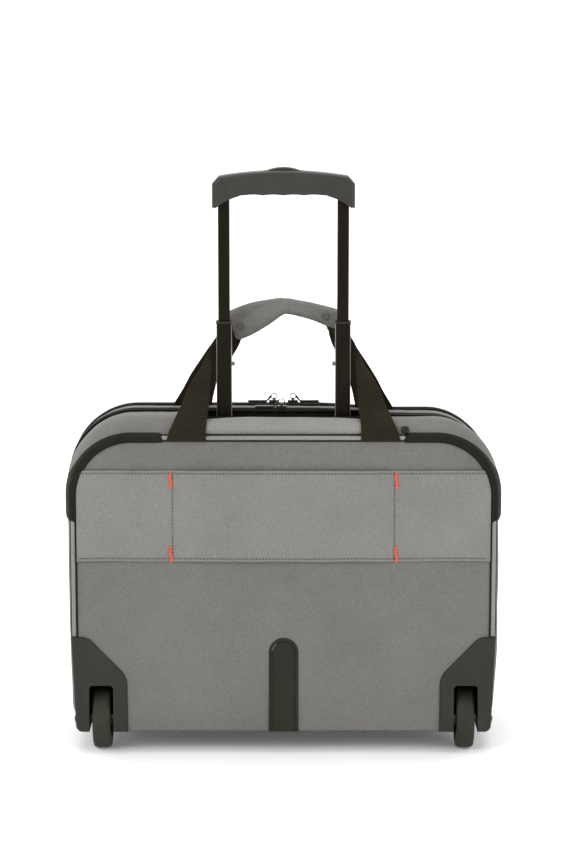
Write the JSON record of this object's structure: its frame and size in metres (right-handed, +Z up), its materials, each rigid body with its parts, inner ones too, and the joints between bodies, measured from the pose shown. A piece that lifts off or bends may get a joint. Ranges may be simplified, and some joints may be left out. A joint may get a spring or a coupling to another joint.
{
  "type": "rolling laptop case",
  "caption": "Padded rolling case for a laptop, with a telescopic pulling handle, a strap carry handle, a luggage sleeve, a hinged front lid and two inline wheels.",
  "frame": {"origin": "on the floor under the middle of the case", "axes": "+Z up, the wheel and handle side faces -Y, +X to the right seen from that side"},
  "size_m": [0.4556, 0.226, 0.613],
  "materials": {
    "shell_fabric": "mid-grey woven polyester, padded",
    "sleeve_fabric": "paler grey woven polyester",
    "lining": "thin dark lining cloth",
    "board": "stiffener sheet",
    "zipper_coil": "nylon coil zipper on woven tape",
    "moulded_plastic": "fine textured moulding",
    "corner_rubber": "soft moulded edge guard",
    "tyre_rubber": "smooth skate tyre",
    "webbing": "tight woven webbing",
    "bartack_thread": "orange-red dense stitching",
    "dark_tube": "dark anodised aluminium, satin",
    "grip_plastic": "satin black moulding",
    "steel": "plated steel"
  },
  "bodies": {
    "case": {"rear_panel": "shell_fabric", "back_board": "board", "rear_gusset": "shell_fabric", "middle_gusset": "shell_fabric", "rear_zipper": "zipper_coil", "case_zipper": "zipper_coil", "base_tray": "moulded_plastic", "divider_panel": "lining", "laptop_strap": "lining", "corner_bumper_left": "corner_rubber", "corner_bumper_right": "corner_rubber", "rear_piping": "sleeve_fabric", "grip_flap": "shell_fabric", "luggage_sleeve": "sleeve_fabric", "sleeve_bartacks": "bartack_thread", "centre_skid": "moulded_plastic", "front_feet": "moulded_plastic", "outer_tubes": "dark_tube", "tube_foot_bracket": "moulded_plastic", "handle_bezel": "moulded_plastic", "wheel_housing_left": "moulded_plastic", "wheel_housing_right": "moulded_plastic", "wheel_axles": "steel", "housing_screws": "steel", "lid_hinge_tape": "lining", "carry_strap_rear_left": "webbing", "carry_strap_rear_right": "webbing", "carry_strap_front_left": "webbing", "carry_strap_front_right": "webbing"},
    "lid": {"lid_gusset": "shell_fabric", "front_panel": "shell_fabric", "lid_zipper": "zipper_coil", "front_pocket": "shell_fabric", "upper_pocket": "shell_fabric"},
    "wheel_left": {"wheel_tyre_left": "tyre_rubber", "wheel_hub_left": "moulded_plastic", "wheel_bearings_left": "steel"},
    "wheel_right": {"wheel_tyre_right": "tyre_rubber", "wheel_hub_right": "moulded_plastic", "wheel_bearings_right": "steel"},
    "stage1": {"handle_stage1_tubes": "dark_tube"},
    "stage2": {"handle_stage2_tubes": "dark_tube", "stage2_collars": "grip_plastic"},
    "stage3": {"handle_stage3_tubes": "dark_tube", "grip_upper_shell": "grip_plastic", "grip_lower_shell": "grip_plastic", "button_springs": "steel"},
    "button": {"release_button": "grip_plastic", "push_rods": "steel"},
    "pin_left": {"lock_pin_left": "steel"},
    "pin_right": {"lock_pin_right": "steel"},
    "carry": {"carry_wrap": "shell_fabric", "wrap_snaps": "steel"},
    "slider_left": {"zip_slider_left": "steel"},
    "slider_right": {"zip_slider_right": "steel"},
    "slider_rear": {"zip_slider_rear": "steel"},
    "pull_left": {"zip_pull_left": "steel"},
    "pull_right": {"zip_pull_right": "steel"},
    "pull_rear": {"zip_pull_rear": "steel"}
  },
  "joints": [
    {"name": "lid_hinge", "type": "hinge", "parent": "case", "child": "lid", "pos_m": [0, 0.104, 0.03], "axis": [-1, 0, 0], "range_deg": [0, 88], "deforming": ["lid_hinge_tape"]},
    {"name": "wheel_left_spin", "type": "hinge", "parent": "case", "child": "wheel_left", "pos_m": [-0.1915, -0.08, 0.033], "axis": [1, 0, 0], "continuous": true},
    {"name": "wheel_right_spin", "type": "hinge", "parent": "case", "child": "wheel_right", "pos_m": [0.1915, -0.08, 0.033], "axis": [1, 0, 0], "continuous": true},
    {"name": "stage1_slide", "type": "slide", "parent": "case", "child": "stage1", "axis": [0, 0, 1], "range_m": [0, 0.19]},
    {"name": "stage2_slide", "type": "slide", "parent": "stage1", "child": "stage2", "axis": [0, 0, 1], "range_m": [-0.098, 0.11]},
    {"name": "stage3_slide", "type": "slide", "parent": "stage2", "child": "stage3", "axis": [0, 0, 1], "range_m": [-0.118, 0.095]},
    {"name": "button_press", "type": "slide", "parent": "stage3", "child": "button", "axis": [0, 0, -1], "range_m": [0, 0.0035], "stiffness_N_per_m": 700, "springref_m": -0.002, "deforming": ["button_springs"]},
    {"name": "pin_left_retract", "type": "slide", "parent": "stage2", "child": "pin_left", "axis": [-1, 0, 0], "range_m": [0, 0.0022]},
    {"name": "pin_right_retract", "type": "slide", "parent": "stage2", "child": "pin_right", "axis": [1, 0, 0], "range_m": [0, 0.0022]},
    {"name": "carry_handle_drop", "type": "slide", "parent": "case", "child": "carry", "axis": [0, 0, -1], "range_m": [0, 0.05], "deforming": ["carry_strap_rear_left", "carry_strap_rear_right", "carry_strap_front_left", "carry_strap_front_right"]},
    {"name": "slider_left_run", "type": "slide", "parent": "case", "child": "slider_left", "axis": [-1, 0, 0], "range_m": [0, 0.12]},
    {"name": "slider_right_run", "type": "slide", "parent": "case", "child": "slider_right", "axis": [1, 0, 0], "range_m": [0, 0.12]},
    {"name": "slider_rear_run", "type": "slide", "parent": "case", "child": "slider_rear", "axis": [-1, 0, 0], "range_m": [0, 0.12]},
    {"name": "pull_left_flip", "type": "hinge", "parent": "slider_left", "child": "pull_left", "pos_m": [-0.01, -0.0035, 0.3649], "axis": [0, 1, 0], "range_deg": [0, 90]},
    {"name": "pull_right_flip", "type": "hinge", "parent": "slider_right", "child": "pull_right", "pos_m": [0.01, -0.0035, 0.3649], "axis": [0, -1, 0], "range_deg": [0, 90]},
    {"name": "pull_rear_flip", "type": "hinge", "parent": "slider_rear", "child": "pull_rear", "pos_m": [-0.002, -0.0435, 0.3649], "axis": [0, 1, 0], "range_deg": [0, 90]}
  ],
  "couplings": [
    {"joint": "pin_left_retract", "follows": "button_press", "ratio": 0.6},
    {"joint": "pin_right_retract", "follows": "button_press", "ratio": 0.6}
  ]
}
